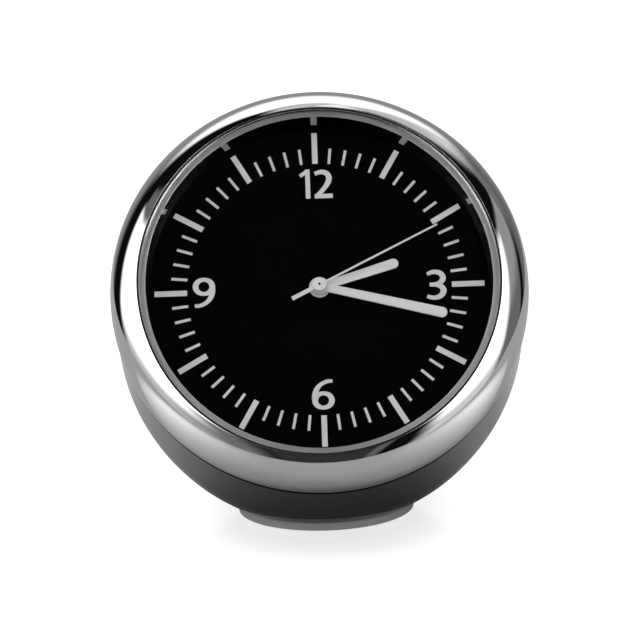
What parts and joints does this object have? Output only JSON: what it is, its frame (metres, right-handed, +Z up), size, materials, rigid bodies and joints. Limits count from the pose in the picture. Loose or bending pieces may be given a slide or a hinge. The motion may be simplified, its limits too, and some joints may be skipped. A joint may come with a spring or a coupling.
{
  "type": "car clock",
  "caption": "Ball-shaped stick-on dashboard quartz clock: chrome bezel, reclined black dial, pull-out clock module with geared movement, adhesive foot.",
  "frame": {"origin": "centre of the foot pad's underside, on the surface that the clock stands on", "axes": "+Z up; the dial faces -Y and leans back 32 degrees; +X is the dial's three o'clock side"},
  "size_m": [0.0398, 0.0404, 0.0412],
  "materials": {
    "shell_black": "high gloss moulded ABS",
    "foot_pad": "pale foam mounting pad with a smooth edge",
    "bezel_chrome": "polished chrome plate",
    "crystal_glass": "clear flat mineral glass",
    "gasket_rubber": "black",
    "rehaut_chrome": "polished wall, satin flat top",
    "dial_black": "matt black enamel",
    "dial_print": "white print",
    "case_black": "fine moulded texture",
    "holder_white": "natural acetal",
    "plate_brass": "fine grained",
    "screw_steel": "turned",
    "soft_iron": "annealed, dull grey",
    "coil_copper": "lacquered copper wire",
    "board_green": "solder mask",
    "chip_black": "moulded epoxy",
    "can_steel": "nickel plated",
    "contact_brass": "gold flashed",
    "hand_white": "smooth white paint",
    "wheel_brass": "stamped and polished",
    "magnet_dark": "sintered"
  },
  "bodies": {
    "shell": {"shell": "shell_black", "foot_pad": "foot_pad"},
    "clock_module": {"bezel": "bezel_chrome", "crystal": "crystal_glass", "crystal_gasket": "gasket_rubber", "rehaut_ring": "rehaut_chrome", "dial": "dial_black", "hour_markers": "dial_print", "minute_track": "dial_print", "module_case": "case_black", "case_back": "case_black", "movement_holder": "holder_white", "mainplate": "plate_brass", "train_bridge": "plate_brass", "bridge_screws": "screw_steel", "stator": "soft_iron", "coil_core": "soft_iron", "coil_winding": "coil_copper", "coil_screws": "screw_steel", "circuit_board": "board_green", "circuit_chip": "chip_black", "quartz_can": "can_steel", "battery": "can_steel", "battery_contact": "contact_brass", "battery_clip": "can_steel"},
    "setting_slide": {"stem_detent": "screw_steel"},
    "setting_crown": {"stem": "screw_steel", "crown": "can_steel", "clutch_pinion": "wheel_brass"},
    "second": {"second_hand": "hand_white", "second_wheel": "wheel_brass"},
    "minute": {"minute_hand": "hand_white", "cannon_pinion": "wheel_brass", "centre_wheel": "wheel_brass"},
    "hour": {"hour_hand": "hand_white", "hour_wheel": "wheel_brass"},
    "third": {"third_wheel": "wheel_brass"},
    "intermediate": {"intermediate_wheel": "wheel_brass"},
    "rotor": {"rotor_pinion": "wheel_brass", "rotor_magnet": "magnet_dark"},
    "motion": {"minute_wheel": "wheel_brass"}
  },
  "joints": [
    {"name": "module_pull", "type": "slide", "parent": "shell", "child": "clock_module", "axis": [0, -0.848, 0.5299], "range_m": [0, 0.014]},
    {"name": "crown_pull", "type": "slide", "parent": "clock_module", "child": "setting_slide", "axis": [1, 0, 0], "range_m": [0, 0.0008]},
    {"name": "crown_turn", "type": "hinge", "parent": "setting_slide", "child": "setting_crown", "pos_m": [0.014, -0.00664, 0.0226], "axis": [1, 0, 0], "continuous": true},
    {"name": "second_hand_turn", "type": "hinge", "parent": "clock_module", "child": "second", "pos_m": [0, -0.00884, 0.02398], "axis": [0, 0.848, -0.5299], "continuous": true},
    {"name": "minute_hand_turn", "type": "hinge", "parent": "clock_module", "child": "minute", "pos_m": [0, -0.00884, 0.02398], "axis": [0, 0.848, -0.5299], "continuous": true},
    {"name": "hour_hand_turn", "type": "hinge", "parent": "clock_module", "child": "hour", "pos_m": [0, -0.00884, 0.02398], "axis": [0, 0.848, -0.5299], "continuous": true},
    {"name": "third_wheel_turn", "type": "hinge", "parent": "clock_module", "child": "third", "pos_m": [0, -0.00383, 0.02445], "axis": [0, 0.848, -0.5299], "continuous": true},
    {"name": "intermediate_wheel_turn", "type": "hinge", "parent": "clock_module", "child": "intermediate", "pos_m": [-0.00108, -0.00702, 0.01935], "axis": [0, 0.848, -0.5299], "continuous": true},
    {"name": "rotor_turn", "type": "hinge", "parent": "clock_module", "child": "rotor", "pos_m": [-0.00362, -0.00765, 0.01834], "axis": [0, 0.848, -0.5299], "continuous": true},
    {"name": "minute_wheel_turn", "type": "hinge", "parent": "clock_module", "child": "motion", "pos_m": [0.0015, -0.00895, 0.02098], "axis": [0, 0.848, -0.5299], "continuous": true}
  ],
  "couplings": [
    {"joint": "minute_hand_turn", "follows": "second_hand_turn", "ratio": 0.016667},
    {"joint": "hour_hand_turn", "follows": "second_hand_turn", "ratio": 0.0013889},
    {"joint": "third_wheel_turn", "follows": "second_hand_turn", "ratio": -0.13333},
    {"joint": "intermediate_wheel_turn", "follows": "second_hand_turn", "ratio": -5},
    {"joint": "rotor_turn", "follows": "second_hand_turn", "ratio": 30},
    {"joint": "minute_wheel_turn", "follows": "second_hand_turn", "ratio": -0.0055556}
  ]
}
